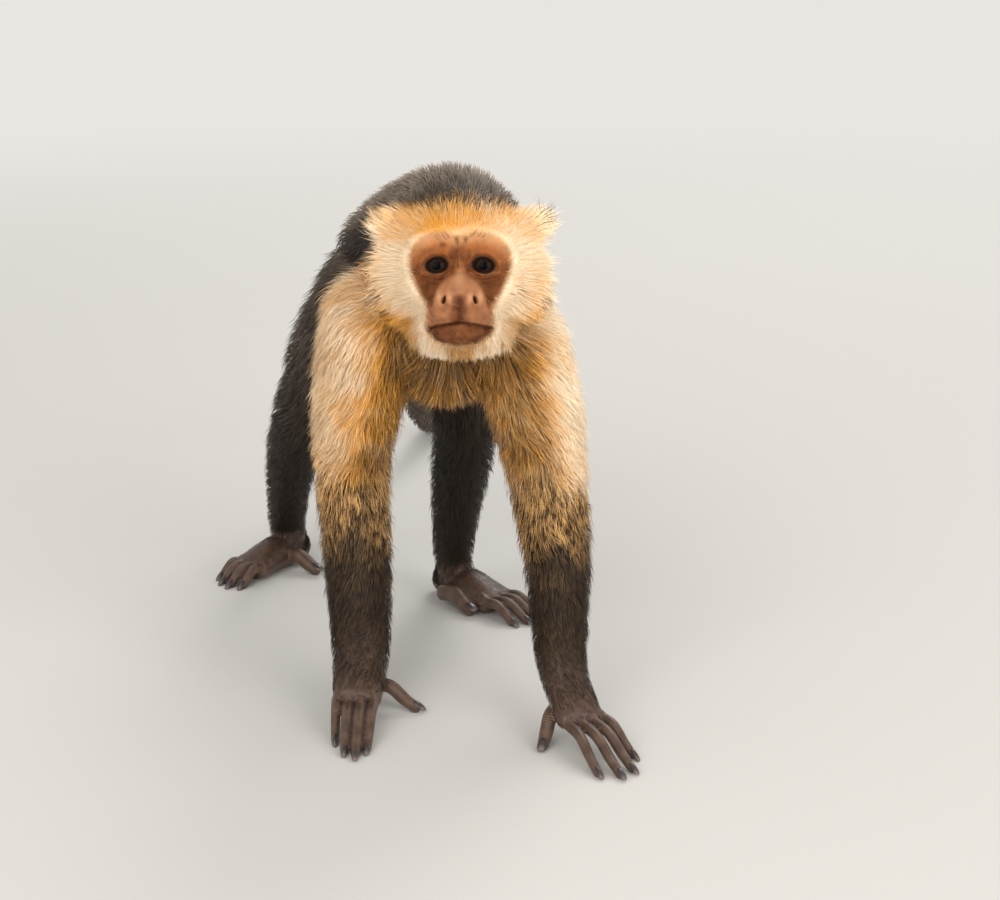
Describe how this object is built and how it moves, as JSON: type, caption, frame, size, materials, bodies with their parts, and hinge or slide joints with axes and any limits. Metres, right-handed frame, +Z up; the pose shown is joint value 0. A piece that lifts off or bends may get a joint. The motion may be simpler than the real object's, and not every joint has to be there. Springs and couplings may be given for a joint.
{
  "type": "white-faced capuchin monkey figure",
  "caption": "Life-size still model of a white-faced capuchin monkey standing on all fours, head up, tail laid on the floor behind, for display.",
  "frame": {"origin": "middle of the model's footprint, on the floor that it stands on", "axes": "+Z up, the animal faces -Y with its left side towards +X, and its tail runs towards +Y"},
  "size_m": [0.297, 0.68, 0.2853],
  "materials": {
    "coat_pale": "pale cream and golden fur",
    "coat_gold": "golden fur",
    "coat_dark": "dark brown fur with a grey sheen",
    "skin_face": "bare pinkish tan skin",
    "skin_dark": "bare dark brown-grey skin",
    "nail": "glossy dark horn",
    "eye": "wet dark brown"
  },
  "bodies": {
    "root": {"head": "coat_pale", "lower_jaw": "skin_face", "neck": "coat_pale", "ear_left": "skin_face", "eye_left": "eye", "ear_right": "skin_face", "eye_right": "eye", "chest": "coat_gold", "belly": "coat_dark", "rump": "coat_dark", "upper_arm_left": "coat_gold", "forearm_left": "coat_dark", "hand_left": "skin_dark", "thigh_left": "coat_dark", "shank_left": "coat_dark", "foot_left": "skin_dark", "nail_hand_left_thumb": "nail", "nail_hand_left_index": "nail", "nail_hand_left_middle": "nail", "nail_hand_left_ring": "nail", "nail_hand_left_little": "nail", "nail_foot_left_big_toe": "nail", "nail_foot_left_second": "nail", "nail_foot_left_third": "nail", "nail_foot_left_fourth": "nail", "nail_foot_left_fifth": "nail", "upper_arm_right": "coat_gold", "forearm_right": "coat_dark", "hand_right": "skin_dark", "thigh_right": "coat_dark", "shank_right": "coat_dark", "foot_right": "skin_dark", "nail_hand_right_thumb": "nail", "nail_hand_right_index": "nail", "nail_hand_right_middle": "nail", "nail_hand_right_ring": "nail", "nail_hand_right_little": "nail", "nail_foot_right_big_toe": "nail", "nail_foot_right_second": "nail", "nail_foot_right_third": "nail", "nail_foot_right_fourth": "nail", "nail_foot_right_fifth": "nail", "tail_1": "coat_dark", "tail_2": "coat_dark", "tail_3": "coat_dark", "tail_4": "coat_dark", "tail_5": "coat_dark"}
  },
  "joints": []
}
